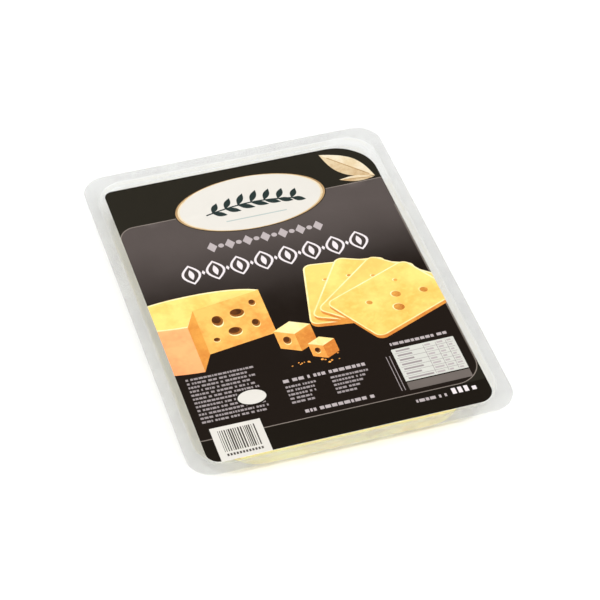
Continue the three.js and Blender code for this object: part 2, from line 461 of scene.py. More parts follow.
def sheet_object(name, fields, loose_points, top_of, thickness, materials, under_ink):
    """A thin closed sheet whose top face is split into fields and follows top_of(x, y)."""
    flat, triangles, inks = split_fields(fields, loose_points)
    count = len(flat)
    top = [(x, y, top_of(x, y)) for x, y in flat]
    under = [(x, y, z - thickness) for x, y, z in top]
    upwards = []
    for a, b, c in triangles:
        ab = Vector(flat[b]) - Vector(flat[a])
        ac = Vector(flat[c]) - Vector(flat[a])
        upwards.append((a, b, c) if ab.cross(ac) > 0 else (a, c, b))
    edges = {(t[i], t[(i + 1) % 3]) for t in upwards for i in range(3)}
    rim = sorted((a, b) for a, b in edges if (b, a) not in edges)
    faces = list(upwards)
    faces += [(a + count, c + count, b + count) for a, b, c in upwards]
    faces += [(b, a, a + count, b + count) for a, b in rim]
    slots = inks + [under_ink] * (len(upwards) + len(rim))
    return mesh_object(name, top + under, faces, materials, slots)


# Node materials


class NodeWork:
    """The nodes of a material or a world, added one by one."""

    def __init__(self, holder, output_kind):
        holder.use_nodes = True
        self.tree = holder.node_tree
        self.tree.nodes.clear()
        self.output = self.add(output_kind)

    def add(self, kind, inputs=None, **settings):
        """Adds a node. An input is a value, or another node's output to link."""
        node = self.tree.nodes.new("ShaderNode" + kind)
        for key, value in settings.items():
            setattr(node, key, value)
        for key, value in (inputs or {}).items():
            if isinstance(value, bpy.types.NodeSocket):
                self.tree.links.new(value, node.inputs[key])
            else:
                node.inputs[key].default_value = value
        return node

    def between(self, value, low, high, from_low=0.3, from_high=0.7, way="LINEAR"):
        """A value from one range spread over another. Noise lies mostly between 0.3 and 0.7."""
        spread = self.add("MapRange", {
            "Value": value, "From Min": from_low, "From Max": from_high,
            "To Min": low, "To Max": high,
        }, interpolation_type=way)
        return spread.outputs["Result"]

    def shows(self, shader):
        """Ends the tree in this shader."""
        self.tree.links.new(shader, self.output.inputs["Surface"])


class Shader(NodeWork):
    """A material's nodes."""

    def __init__(self, name):
        self.material = bpy.data.materials.new(name)
        super().__init__(self.material, "OutputMaterial")
        self.place = self.add("TexCoord").outputs["Object"]

    def noise(self, lump_mm, detail, stretch=(1, 1, 1), roughness=0.5):
        """Soft noise with lumps of a size in millimetres, as a value from 0 to 1."""
        place = self.add("Mapping", {"Vector": self.place, "Scale": stretch}).outputs[0]
        settings = {"Vector": place, "Scale": 1 / (lump_mm * MM), "Detail": detail,
                    "Roughness": roughness}
        return self.add("TexNoise", settings).outputs["Fac"]

    def colours(self, share, first, second):
        """Mixes two colours by a share, of which each colour may be an output."""
        inputs = {0: share}
        for key, colour in ((6, first), (7, second)):
            is_output = isinstance(colour, bpy.types.NodeSocket)
            inputs[key] = colour if is_output else opaque(colour)
        return self.add("Mix", inputs, data_type="RGBA").outputs[2]

    def sum(self, operation, first, second=0.0):
        """The result of a sum on two values."""
        return self.add("Math", {0: first, 1: second}, operation=operation).outputs[0]

    def bump(self, height, depth_mm):
        """A surface normal from a height of 0 to 1."""
        settings = {"Height": height, "Distance": depth_mm * MM, "Strength": 1}
        return self.add("Bump", settings).outputs["Normal"]

    def finished(self, shader):
        """The material, with its tree ended in this shader."""
        self.shows(shader)
        return self.material


def opaque(colour):
    """A colour with full alpha, as a colour socket takes it."""
    return (*colour, 1)


def scaled(colour, by):
    """A lighter or darker colour."""
    return [min(1, by * channel) for channel in colour]


def clear_sheet_material(name, tint, haze_colour, haze, gloss_roughness, relief=None):
    """Clear plastic: see-through, a little milky, and shiny towards its edges."""
    head_on_gloss = 0.04
    shader = Shader(name)
    cloud = shader.noise(26, 4)
    streak = shader.noise(3, 2, (1, 0.35, 1))
    normal = shader.bump(relief(shader) if relief else streak, 0.03)
    milk = shader.add("BsdfPrincipled", {
        "Base Color": shader.colours(cloud, haze_colour, scaled(haze_colour, 0.9)),
        "Roughness": shader.between(streak, 0.28, 0.42),
        "IOR": 1.5,
        "Normal": normal,
    }).outputs[0]
    see_through = shader.add("BsdfTransparent", {"Color": opaque(tint)}).outputs[0]
    cloudiness = shader.between(cloud, 0.7 * haze, 1.3 * haze)
    body = shader.add("MixShader", {0: cloudiness, 1: see_through, 2: milk}).outputs[0]
    facing = shader.add("LayerWeight", {"Blend": 0.5, "Normal": normal}).outputs["Facing"]
    edge = shader.sum("POWER", facing, 5.0)
    gloss_share = shader.add(
        "Math", {0: edge, 1: 1 - head_on_gloss, 2: head_on_gloss}, operation="MULTIPLY_ADD")
    gloss = shader.add("BsdfGlossy", {
        "Color": opaque((1, 1, 1)),
        "Roughness": shader.between(streak, 0.7 * gloss_roughness, 1.4 * gloss_roughness),
        "Normal": normal,
    }).outputs[0]
    return shader.finished(
        shader.add("MixShader", {0: gloss_share.outputs[0], 1: body, 2: gloss}).outputs[0])


def seal_relief(shader):
    """The fine crossed ribs that the sealing bar leaves."""
    waves = []
    for direction in ("X", "Y"):
        wave = shader.add("TexWave", {"Vector": shader.place, "Scale": 120, "Distortion": 0.4},
                          wave_type="BANDS", bands_direction=direction)
        waves.append(wave.outputs["Fac"])
    return shader.sum("MULTIPLY", *waves)


def seal_material(name, tint, film_settings):
    """Clear plastic where the film is sealed on the flange: milkier, duller and ribbed."""
    return clear_sheet_material(
        name, tint, film_settings.seal_colour, film_settings.seal_haze, 0.12, seal_relief)


def cheese_material(name, colour, deep_colour, least_rough, most_rough):
    """Pale, slightly see-through cheese with a moist, finely grained face."""
    shader = Shader(name)
    patches = shader.noise(17, 5)
    grain = shader.noise(1.1, 4)
    patched = shader.colours(shader.between(patches, 0, 1, 0.35, 0.7), colour, deep_colour)
    crumb = shader.between(grain, 0, 0.35, 0.5, 0.75)
    body = shader.add("BsdfPrincipled", {
        "Base Color": shader.colours(crumb, patched, scaled(colour, 1.05)),
        "Roughness": shader.between(grain, least_rough, most_rough),
        "IOR": 1.45,
        "Subsurface Weight": 0.45,
        "Subsurface Radius": (1.0, 0.62, 0.28),
        "Subsurface Scale": 2.2 * MM,
        "Normal": shader.bump(grain, 0.06),
    })
    return shader.finished(body.outputs[0])


def varnished(shader, colour):
    """Ink under a satin varnish, with the label's faint grain."""
    grain = shader.noise(0.8, 3)
    body = shader.add("BsdfPrincipled", {
        "Base Color": colour,
        "Roughness": shader.between(grain, 0.29, 0.39),
        "IOR": 1.45,
        "Specular IOR Level": 0.2,
        "Coat Weight": 0.06,
        "Coat Roughness": 0.22,
        "Normal": shader.bump(grain, 0.012),
    })
    return shader.finished(body.outputs[0])


def plain_ink(name, colour, spread=0.08):
    """An even field of ink, a little lighter and darker from place to place."""
    shader = Shader(name)
    mottled = shader.colours(
        shader.noise(9, 4), scaled(colour, 1 - spread), scaled(colour, 1 + spread))
    return varnished(shader, mottled)


def panel_ink(name, light, dark):
    """The panel's ink, which fades from charcoal grey at the top to near black."""
    shader = Shader(name)
    place = shader.add("SeparateXYZ", {0: shader.place}).outputs
    down = shader.between(
        place["Y"], 1, 0, PANEL_DARK_Y * MM, PANEL_LIGHT_Y * MM, "SMOOTHSTEP")
    off_middle = shader.sum("ABSOLUTE", shader.sum("SUBTRACT", place["X"], PANEL_MIDDLE_X * MM))
    aside = shader.between(off_middle, 0, 0.1, 0, PANEL_REACH * MM)
    mottle = shader.between(shader.noise(22, 4), -0.06, 0.06)
    share = shader.sum("ADD", shader.sum("ADD", down, aside), mottle)
    clamped = shader.add("Clamp", {0: share}).outputs[0]
    return varnished(shader, shader.colours(clamped, light, dark))


def painted_ink(name, colour, shade, lump_mm=7, fall=DRAWN_FALL):
    """Ink of a drawn piece, in soft patches that deepen down the label, with a fine crumb.

    fall is where the deeper shade begins and where it is fullest, from the label's top edge.
    """
    shader = Shader(name)
    y = shader.add("SeparateXYZ", {0: shader.place}).outputs["Y"]
    top, foot = ((LABEL_HIGH[1] - v) * MM for v in fall)
    depth = shader.between(y, 0.75, 0, foot, top)
    patches = shader.between(shader.noise(2 * lump_mm, 5, roughness=0.6), -0.4, 0.6, 0.38, 0.64)
    crumb = shader.between(shader.noise(0.3 * lump_mm, 3), 0, 0.3, 0.5, 0.7)
    deepened = shader.colours(shader.sum("ADD", depth, patches), colour, shade)
    return varnished(shader, shader.colours(crumb, deepened, scaled(colour, 1.15)))


# The tray. Each step of its section is (inset, corner radius, z).


def bead_steps(lift):
    """The stiffening bead in the floor, from its inner foot to its outer one."""
    flank, rise = BEAD["flank"], BEAD["rise"]
    inner_foot = BEAD["inset"] + BEAD["width"]
    up = [(inner_foot - flank * share, BEAD["inner"] + flank * share,
           lift + rise * smooth_step(share)) for share in shares(FLANK_STEPS)]
    down = [(BEAD["inset"] + flank * share, BEAD["outer"] - flank * share,
             lift + rise * smooth_step(share)) for share in reversed(shares(FLANK_STEPS))]
    return up + down


def foot_steps(inset, z, bend):
    """The foot's bend from the floor to the wall."""
    steps = []
    wall_angle = math.pi / 2 - math.atan(DRAFT)
    for share in shares(FOOT_STEPS):
        angle = share * wall_angle
        into = bend * (1 - math.sin(angle))
        steps.append((inset + into, FOOT_CORNER - into / 2, z + bend * (1 - math.cos(angle))))
    return steps


def rim_steps(inset, radius, z):
    """The bend from the wall's top to the flange, then the flange out to the pack's outline."""
    steps = []
    for share in shares(RIM_STEPS):
        angle = share * math.pi / 2
        into = RIM_BEND * (1 - math.cos(angle))
        steps.append((inset - into, radius + into, z - RIM_BEND * (1 - math.sin(angle))))
    last_inset, last_radius, _z = steps[-1]
    for share in shares(FLANGE_STEPS, 1):
        radius = last_radius + (PACK_CORNER - last_radius) * share
        steps.append((last_inset * (1 - share), radius, z))
    return steps


def tray_skin(lift):
    """One skin of the tray, from the floor's middle to the flange's edge.

    The outer skin has lift 0, and the inner one lies one sheet further in and up.
    """
    under_flange = FLANGE_TOP - TRAY_SHEET
    shoulder_z = under_flange - SHOULDER_DEPTH
    shoulder_out = RIM_INSET + DRAFT * (SHOULDER_DEPTH - RIM_BEND)
    shoulder_in = shoulder_out + SHOULDER_WIDTH
    foot_inset = shoulder_in + DRAFT * (shoulder_z - SHOULDER_FALL - FOOT_BEND)
    rim_radius = RIM_CORNER - lift / 2
    shoulder = [
        (inset + lift + more_inset, rim_radius + more_radius, shoulder_z + lift + more_z)
        for inset, edge in ((shoulder_in, SHOULDER_INNER_EDGE), (shoulder_out, SHOULDER_OUTER_EDGE))
        for more_inset, more_radius, more_z in edge
    ]
    foot = foot_steps(foot_inset + lift, lift, FOOT_BEND - lift / 2)
    wall = [tuple(a + (b - a) * share for a, b in zip(foot[-1], shoulder[0]))
            for share in shares(WALL_STEPS, 1)[:-1]]
    rim = rim_steps(RIM_INSET + lift, rim_radius, under_flange + lift)
    return bead_steps(lift) + foot + wall + shoulder + rim


def formed_place(x, y, z, settings):
    """Where a point of the tray ends up, with its waviness and the groove at the peel corner."""
    on_wall = smooth_step(z / WALL_FADE) * smooth_step((FLANGE_TOP - 1 - z) / WALL_FADE)
    wave = settings.wall_waviness / MM * on_wall
    on_flange = smooth_step((z - FLANGE_TOP + 1) / 0.4)
    across = ((x + y) / math.sqrt(2) - PEEL_LINE) / PEEL_WIDTH
    groove = settings.peel_groove / MM * on_flange * math.exp(-across ** 2)
    return (x + wave * uneven(x, y, z, WALL_LUMP), y + wave * uneven(y, z, x, WALL_LUMP),
            z - groove)


def flange_slots(rings, face_count):
    """Slot 1 for the faces of the sealed flange, and 0 for the rest."""
    count = len(rings[0])
    middle = len(rings) // 2
    flange = range(middle - 1 - FLANGE_STEPS, middle + FLANGE_STEPS)
    return [int(face // count in flange) for face in range(face_count)]


def build_tray(settings, film_settings):
    """The clear tray as one closed shell."""
    rings = []
    for step in tray_skin(0) + tray_skin(TRAY_SHEET)[::-1]:
        rings.append([formed_place(*point, settings) for point in inset_ring(*step)])
    points, faces = loft(rings)
    clear = clear_sheet_material(
        "clear_tray_sheet", settings.tint, settings.haze_colour, settings.haze, 0.07)
    seal = seal_material("tray_flange", settings.tint, film_settings)
    slots = flange_slots(rings, len(faces))
    return mesh_object("clear_tray", points, faces, [clear, seal], slots, sharp_angle=50)


class PackTrayOperator(bpy.types.Operator):
    """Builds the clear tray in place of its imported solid"""

    bl_idname = "cheese_pack.tray"
    bl_label = "Build Tray"

    def execute(self, context):
        settings = context.scene.cheese_pack
        tray = build_tray(settings.tray, settings.film)
        finish_piece(tray, "clear_tray", "tray")
        return {"FINISHED"}


# The cheese


def eye_places():
    """Every eye as its centre, its half width and its half height."""
    draws = seeded_draws(EYE_SEED)
    middle_y = STACK_MIDDLE[1]
    places = []

    def size():
        """A half width, which is more often small than large."""
        return EYES["least"] + (EYES["most"] - EYES["least"]) * next(draws) ** 1.6

    def spread(reach):
        """A distance to either side."""
        return -reach + 2 * reach * next(draws)

    def keep_if_clear(x, y, z, radius, depth):
        """Keeps an eye that is well apart from those before it."""
        if all(math.hypot(p[0] - x, p[1] - y) > p[3] + radius + EYES["apart"] for p in places):
            places.append((x, y, z, radius, depth))

    while len(places) < EYES["under"]:
        radius = size()
        x = spread((SLICE_WIDTH - SLICE_CORNER) / 2)
        y = middle_y + spread((SLICE_LENGTH - SLICE_CORNER) / 2)
        keep_if_clear(x, y, CHEESE_BOTTOM, radius, radius * EYES["depth"])
    while len(places) < EYES["under"] + EYES["edge"]:
        side = len(places) % 4
        sign = 1 if side % 2 else -1
        share = spread(EYE_EDGE_REACH) / 2
        level = 1.5 + math.floor(next(draws) * (SLICES - 3))
        on_end = side < 2
        x = share * SLICE_WIDTH if on_end else sign * SLICE_WIDTH / 2
        y = middle_y + (sign * SLICE_LENGTH / 2 if on_end else share * SLICE_LENGTH)
        radius = size() * EYE_EDGE_SIZE
        depth = SLICE_PITCH * (1 + next(draws))
        keep_if_clear(x, y, CHEESE_BOTTOM + level * SLICE_PITCH, radius, depth)
    return places


def eye_cutter(places, materials):
    """One mesh of uneven flattened balls, which scoops the eyes out of a slice.

    The second material is the one that the eyes' walls get.
    """
    cutter = bmesh.new()
    for x, y, z, radius, depth in places:
        ball = bmesh.ops.create_icosphere(cutter, subdivisions=4, radius=1)["verts"]
        for vertex in ball:
            swell = 1 + EYE_SWELL * uneven(*(vertex.co * 10 + Vector((x, y, z))), 9)
            vertex.co = Vector((
                x + vertex.co.x * radius * swell, y + vertex.co.y * radius * EYE_LENGTH * swell,
                z + vertex.co.z * depth * swell)) * MM
    mesh = bpy.data.meshes.new("eye_cutter")
    cutter.to_mesh(mesh)
    cutter.free()
    for material in materials:
        mesh.materials.append(material)
    mesh.polygons.foreach_set("material_index", [1] * len(mesh.polygons))
    made = bpy.data.objects.new("eye_cutter", mesh)
    bpy.context.scene.collection.objects.link(made)
    return made


def cut_ring(inset, z, centre, number):
    """One level of a slice's edge, uneven from its cutting."""
    outline = round_rectangle(
        SLICE_WIDTH - 2 * inset, SLICE_LENGTH - 2 * inset, (SLICE_CORNER - inset,) * 4, centre,
        side_steps=SLICE_SIDE_STEPS)
    ring = []
    for x, y in outline:
        out = Vector((x - centre[0], y - centre[1])).normalized()
        ragged = RAGGED * uneven(x, y, number * 7, RAGGED_LUMP)
        ragged += CRUMBLED * uneven(x, y, z * 3, CRUMBLED_LUMP)
        ring.append((x + out.x * ragged, y + out.y * ragged, z))
    return ring


def slice_rings(bottom, top, edge_round, centre, number):
    """The rings of one slice, from its underside to its top."""
    angles = [share * math.pi / 2 for share in shares(SLICE_EDGE_STEPS)]
    levels = [(1 - math.sin(a), bottom + edge_round * (1 - math.cos(a))) for a in angles]
    levels += [(1 - math.cos(a), top - edge_round * (1 - math.sin(a))) for a in angles]
    return [cut_ring(edge_round * inset, z, centre, number) for inset, z in levels]


def cut_eyes(piece, cutter):
    """Scoops the cutter out of a slice and takes the cutter away."""
    cut = piece.modifiers.new("eyes", "BOOLEAN")
    cut.operation = "DIFFERENCE"
    cut.solver = "EXACT"
    cut.use_self = True
    cut.object = cutter
    result = bpy.data.meshes.new_from_object(
        piece.evaluated_get(bpy.context.evaluated_depsgraph_get()))
    piece.modifiers.clear()
    whole = piece.data
    piece.data = result
    result.name = piece.name
    bpy.data.meshes.remove(whole)
    bpy.data.objects.remove(cutter)
    smooth_faces(result)


def build_slice(number, centre, places, settings, materials):
    """One slice with its eyes."""
    pitch = settings.thickness / MM
    bottom = CHEESE_BOTTOM + number * pitch
    top = bottom + (pitch - SLICE_GAP)
    points, faces = loft(slice_rings(bottom, top, settings.edge_round / MM, centre, number))
    piece = mesh_object(f"cheese_slice_{number + 1}", points, faces, materials)
    met = [p for p in places if p[2] - p[4] < bottom + pitch and p[2] + p[4] > bottom]
    if met:
        cut_eyes(piece, eye_cutter(met, materials))
    return piece


class PackCheeseOperator(bpy.types.Operator):
    """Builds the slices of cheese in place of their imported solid"""

    bl_idname = "cheese_pack.cheese"
    bl_label = "Build Slices"

    def execute(self, context):
        settings = context.scene.cheese_pack.cheese
        # The eyes' walls get a slightly deeper colour, partly their own and partly painted shade in
        # the hollows.
        materials = (
            cheese_material("sliced_cheese", settings.colour, settings.deep_colour, 0.36, 0.55),
            cheese_material("cheese_eye", settings.eye_colour, settings.deep_colour, 0.18, 0.3))
        draws = seeded_draws(SLICE_SEED)
        places = eye_places()
        for number in range(settings.slices):
            stray = ((next(draws) - 0.5) * 2 * SLICE_STRAY, next(draws) * SLICE_STRAY)
            centre = (STACK_MIDDLE[0] + stray[0], STACK_MIDDLE[1] + stray[1])
            piece = build_slice(number, centre, places, settings, materials)
            nodes = ["cheese_slices"] if number == 0 else []
            finish_piece(piece, "cheese", *nodes)
        return {"FINISHED"}


# The film


def film_dip(x, y, settings):
    """How far below its rim the film lies at a place."""
    inside = min(PACK_WIDTH / 2 - RIM_INSET - abs(x), PACK_LENGTH / 2 - RIM_INSET - abs(y))
    held = smooth_step(inside / SAG_REACH)
    waves = uneven(x, y, 3, RIPPLE) + 0.5 * uneven(x, y, 9, FINE_RIPPLE)
    wave = settings.ripple / MM * waves
    away = math.hypot(x - PEEL_CORNER[0], y - PEEL_CORNER[1]) / CREASE_REACH
    across = (CREASE_WAY[0] * x + CREASE_WAY[1] * y) / CREASE_PITCH
    crease = settings.crease / MM * math.exp(-away * away) * math.sin(2 * math.pi * across)
    return held * (settings.sag / MM + wave) + crease


def build_film(settings):
    """The clear film, with its sealed band as a field of its own."""
    outline = round_rectangle(PACK_WIDTH, PACK_LENGTH, (PACK_CORNER,) * 4)
    seal_width = RIM_INSET - RIM_BEND
    window = round_rectangle(
        PACK_WIDTH - 2 * seal_width, PACK_LENGTH - 2 * seal_width, (RIM_CORNER + RIM_BEND,) * 4)
    loose = grid_points(TRAY_LOW, TRAY_HIGH, SHEET_SPACING)
    loose += grid_points(*CREASED_AREA, CREASED_SPACING)
    film = clear_sheet_material(
        "clear_film", settings.tint, settings.haze_colour, settings.haze, 0.05)
    seal = seal_material("film_seal", settings.tint, settings)
    return sheet_object(
        "clear_top_film", [(outline, 1), (window, 0)], loose,
        lambda x, y: FILM_HIGH[2] - film_dip(x, y, settings), FILM_HIGH[2] - FILM_LOW[2],
        [film, seal], 0)


class PackFilmOperator(bpy.types.Operator):
    """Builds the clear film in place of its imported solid"""

    bl_idname = "cheese_pack.film"
    bl_label = "Build Film"

    def execute(self, context):
        film = build_film(context.scene.cheese_pack.film)
        finish_piece(film, "clear_film", "top_film")
        return {"FINISHED"}


# The print's shapes, as places on the label


def bar(left, top, right, foot):
    """A rectangle."""
    return [(left, top), (right, top), (right, foot), (left, foot)]


def oval(u, v, half_u, half_v, steps=28):
    """An ellipse."""
    return arc((u, v), (half_u, half_v), 0, 360, steps)[:-1]


def lozenge(u, v, half_u, half_v):
    """A diamond."""
    return [(u - half_u, v), (u, v - half_v), (u + half_u, v), (u, v + half_v)]


def turned(places, degrees, middle):
    """Places turned about (0, 0) and moved to a new middle."""
    cos, sin = math.cos(math.radians(degrees)), math.sin(math.radians(degrees))
    return [(middle[0] + a * cos - b * sin, middle[1] + a * sin + b * cos) for a, b in places]


def lowered(places, drop):
    """Places moved down the label."""
    return [(u, v + drop) for u, v in places]


def almond(middle, half_length, half_width, degrees, steps=9):
    """A leaf with two pointed ends, turned by an angle."""
    side = []
    for share in shares(steps)[:-1]:
        along = 2 * share - 1
        side.append((along * half_length, half_width * math.cos(along * math.pi / 2)))
    return turned(side + [(-a, -b) for a, b in side], degrees, middle)


def stroke(places, half_width):
    """A line of even width along a row of places."""
    left, right = [], []
    for i, (u, v) in enumerate(places):
        before = Vector(places[max(0, i - 1)])
        after = Vector(places[min(len(places) - 1, i + 1)])
        way = (after - before).normalized()
        left.append((u - way.y * half_width, v + way.x * half_width))
        right.append((u + way.y * half_width, v - way.x * half_width))
    return left + right[::-1]


# The print's fields, each a (places, ink) pair. A later one lies over an earlier one.


def panel_outline(grow):
    """The panel, round at its top left and its bottom right corner."""
    left, right = -BLEED, PANEL_RIGHT + grow
    top, foot = PANEL_TOP - grow, PANEL_FOOT + grow
    r, s = PANEL_CORNER_TOP + grow, PANEL_CORNER_FOOT + grow
    past_corner = top + LABEL_CORNERS[0]
    return [
        (left, foot), (left, top + r + 1), *arc((r - grow, top + r), (r, r), 180, 270),
        (right + BLEED, top), (right + BLEED, past_corner), (right, past_corner),
        *arc((right - s, foot - s), (s, s), 0, 90),
    ]


def panel_fields():
    """The foot, and the panel with its thin line. The label's own ground is over them."""
    foot = bar(-BLEED, PANEL_FOOT + 0.7, LABEL_WIDTH + BLEED, LABEL_LENGTH + BLEED)
    return [
        (foot, "foot"), (panel_outline(PANEL_LINE), "outline"), (panel_outline(0), "panel")]


def sprig_fields():
    """A plain sprig of leaves on a curved stem, in the middle of the oval."""
    u, v = OVAL_PLACE
    half_length, rise, low, steps, pairs = 23, 3.2, 3.4, 14, 7
    stem = [(u - half_length + 2 * half_length * share, v + low - rise * math.sin(math.pi * share))
            for share in shares(steps)]
    fields = [(stroke(stem, 0.42), "emblem")]
    for pair in range(pairs):
        share = (pair + 0.7) / pairs
        base = stem[round(share * steps)]
        half_leaf = 4.6 - 2.2 * abs(share - 0.5)
        for degrees in (-60, 24):
            middle, = turned([(0.98 * half_leaf, 0)], degrees, base)
            fields.append((almond(middle, half_leaf, 1.55, degrees), "emblem"))
    fields.append((bar(u - 15, v + 9.8, u + 15, v + 10.5), "faint"))
    return fields


def oval_fields():
    """The pale oval with its gilt rim and its sprig."""
    half_u, half_v = OVAL_SIZE
    rims = [(oval(*OVAL_PLACE, half_u - in_u, half_v - in_v, OVAL_STEPS), ink)
            for in_u, in_v, ink in OVAL_RIMS]
    return rims + sprig_fields()


def leaf_fields(root, length, half_width, degrees):
    """A pale leaf that grows up and left from its root, with a darker half and a fine rib."""
    middle, rib_foot, rib_tip = turned(
        [(-0.5 * length, 0), (-0.1 * length, 0), (-0.86 * length, 0)], degrees, root)
    blade = almond(middle, length / 2, half_width, degrees, 24)
    lower = blade[:len(blade) // 2 + 1]
    return [(blade, "ivory"), (lower, "tan"), (stroke([rib_foot, rib_tip], 0.3), "gilt")]


def title_fields():
    """A row of open upright leaves with small lozenges between them."""
    fields = []
    count, first, pitch, v = 8, 25, 11.7, 66.6
    for u in (first + i * pitch for i in range(count)):
        for half_length, half_width, ink in (
                (6.6, 4.6, "title"), (5.3, 3.4, "panel"), (3.4, 1.3, "title")):
            fields.append((almond((u, v), half_length, half_width, 90), ink))
        fields.append((lozenge(u + pitch / 2, v, 0.9, 1.5), "title"))
    return fields[:-1]


def subtitle_fields():
    """A smaller row of lozenges and dots over the title."""
    count, first, pitch, v = 13, 39.5, 4.35, 51.3
    fields = []
    for i in range(count):
        u = first + i * pitch
        shape = oval(u, v, 1.4, 1.4, 12) if i % 2 else lozenge(u, v, 2.5, 3.5)
        fields.append((shape, "subtitle"))
    return fields


def hole_fields(u, v, half_u, half_v):
    """A drawn hole with a light lower lip and a dark upper side."""
    deep = oval(
        u - 0.12 * half_u, v - 0.22 * half_v, 0.8 * half_u, 0.7 * half_v, HOLE_STEPS)
    return [
        (oval(u, v + 0.3 * half_v, half_u, half_v, HOLE_STEPS), "cream"),
        (oval(u, v, half_u, half_v, HOLE_STEPS), "hole"),
        (deep, "hole_deep"),
    ]


def wheel_fields():
    """A drawn wheel of cheese with a wedge cut out, which runs off the left edge."""
    middle, half_u, half_v, height = (19, 89.5), 37, 10, 29
    start, end, left = 98, 332, 180
    front = arc(middle, (half_u, half_v), start, left, 20)
    top = arc(middle, (half_u, half_v), start, end, 40)
    inner_top = arc(middle, (half_u - 1.6, half_v - 0.8), start, end, 40)
    first, last = top[0], top[-1]
    fields = [
        (front + lowered(front[::-1], height), "rind"),
        ([middle, last, *lowered([last, middle], height)], "amber"),
        ([middle, *lowered([middle, first], height), first], "amber_shade"),
        ([middle, *top], "cream"),
        ([middle, *inner_top], "yellow"),
    ]
    for hole in WHEEL_HOLES:
        fields += hole_fields(*hole)
    return fields


def cube_fields(u, v, side):
    """A small drawn cube of cheese, seen from above one corner."""
    half, drop, height = 0.62 * side, 0.3 * side, 0.8 * side
    back, right, front, left = lozenge(u, v, half, drop)[1:] + [(u - half, v)]
    return [
        ([left, front, *lowered([front, left], height)], "amber"),
        ([front, right, *lowered([right, front], height)], "amber_shade"),
        ([back, right, front, left], "cream"),
        *hole_fields(u - half * 0.5, v + side * 0.5, side * 0.13, side * 0.17),
    ]


def fan_slice_fields(number, degrees):
    """One drawn slice of the fan with its holes."""
    def laid(places, drop=0):
        """The slice's own places as they are drawn: turned and seen at a slant."""
        return [(u, FAN_PIVOT[1] + v * FAN_SLANT + drop)
                for u, v in turned(places, degrees, (FAN_PIVOT[0], 0))]

    def sheet(rim):
        """The slice's outline, less a rim."""
        return round_rectangle(
            FAN_SIDE - 2 * rim, FAN_SIDE * FAN_BREADTH - 2 * rim, (FAN_CORNER - rim,) * 4,
            (FAN_SIDE / 2, 0), steps=6)

    fields = [
        (laid(sheet(0), 1.9), "amber_shade"),
        (laid(sheet(0)), "cream"),
        (laid(sheet(FAN_RIM)), "yellow" if number % 2 else "amber_light"),
    ]
    draws = seeded_draws(41 + number)
    for along, across in FAN_HOLES:
        size = 0.9 + 2.0 * next(draws)
        a, b = FAN_SIDE * along, FAN_SIDE * across
        fields.append((laid(oval(a - 0.2, b - 0.4, 1.1 * size, 1.3 * size)), "cream"))
        fields.append((laid(oval(a, b, size, 1.2 * size)), "hole_light"))
    return fields


def fan_fields():
    """A drawn fan of slices, which runs off the right edge."""
    fields = []
    for number, degrees in enumerate(FAN_TURNS):
        fields += fan_slice_fields(number, degrees)
    return fields


def crumb_fields():
    """Crumbs between the drawn pieces."""
    fields = []
    draws = seeded_draws(17)
    for _crumb in range(16):
        u, v = 52 + 24 * next(draws), 134 + 5 * next(draws)
        size = 0.3 + 0.45 * next(draws)
        fields.append((oval(u, v, size, size * 0.8, 7), "amber"))
    return fields


def word_fields(left, right, v, height, draws, ink="subtitle"):
    """A line of short plain bars in groups, as fine print looks from afar."""
    fields = []
    u = left
    while True:
        width = height * (0.5 + 1.1 * next(draws))
        if u + width > right:
            return fields
        fields.append((bar(u, v, u + width, v + height), ink))
        gap = 0.9 if next(draws) < 0.25 else 0.3
        u += width + gap * height


def small_print_fields():
    """Blocks of lines in place of small print, and the bare oval among them."""
    draws = seeded_draws(5)
    fields = []
    for row in range(12):
        right = 35.5 - 3.0 * next(draws)
        v = 130.8 + LINE_PITCH * row
        fields += word_fields(3.8, right, v, SMALL_HEIGHT, draws, "small")
    fields += [(oval(29.2, 149, 7.3, 5.1), "foot"), (oval(29.2, 149, 6.5, 4.3), "oval")]
    fields += word_fields(45, 84, 143.4, HEADING_HEIGHT, draws)
    for row in range(5):
        v = 147.4 + LINE_PITCH * row
        fields += word_fields(45, 60 - row, v, SMALL_HEIGHT, draws, "small")
        fields += word_fields(66, 84 - 2 * row, v, SMALL_HEIGHT, draws, "small")
    fields += word_fields(49, 81, 163.2, HEADING_HEIGHT, draws)
    fields += word_fields(98, 126, 135.4, 1.7, draws)
    return fields


def table_fields():
    """A plain pale table with its ruled lines and a bar in each of its places."""
    width, height = TABLE_RIGHT - TABLE_LEFT, (TABLE_FOOT - TABLE_TOP) / TABLE_ROWS
    margin, half_rule = 0.6, 0.12
    fields = [(bar(TABLE_LEFT, TABLE_TOP, TABLE_RIGHT, TABLE_FOOT), "table")]
    draws = seeded_draws(61)
    columns = [TABLE_LEFT + width * share for share in TABLE_COLUMNS]
    for row in range(TABLE_ROWS):
        v = TABLE_TOP + height * row
        if row:
            rule = bar(TABLE_LEFT + 1, v - half_rule, TABLE_RIGHT - 1, v + half_rule)
            fields.append((rule, "small"))
        for column, (start, end) in enumerate(zip(columns, columns[1:])):
            left = start + margin
            right = left + (end - start - 1.6) * (0.55 + 0.45 * next(draws))
            mark = bar(left, v + 0.32 * height, right, v + 0.68 * height)
            fields.append((mark, "subtitle" if column else "small"))
    for u in columns[1:-1]:
        rule = bar(u - half_rule, TABLE_TOP + 1, u + half_rule, TABLE_FOOT - 1)
        fields.append((rule, "small"))
    fields.append((bar(TABLE_LEFT, TABLE_FOOT + 0.7, TABLE_RIGHT, TABLE_FOOT + 5.6), "band"))
    return fields + [(bar(u, 143, u + 0.35, 165), "small") for u in (93.6, 95.2)]


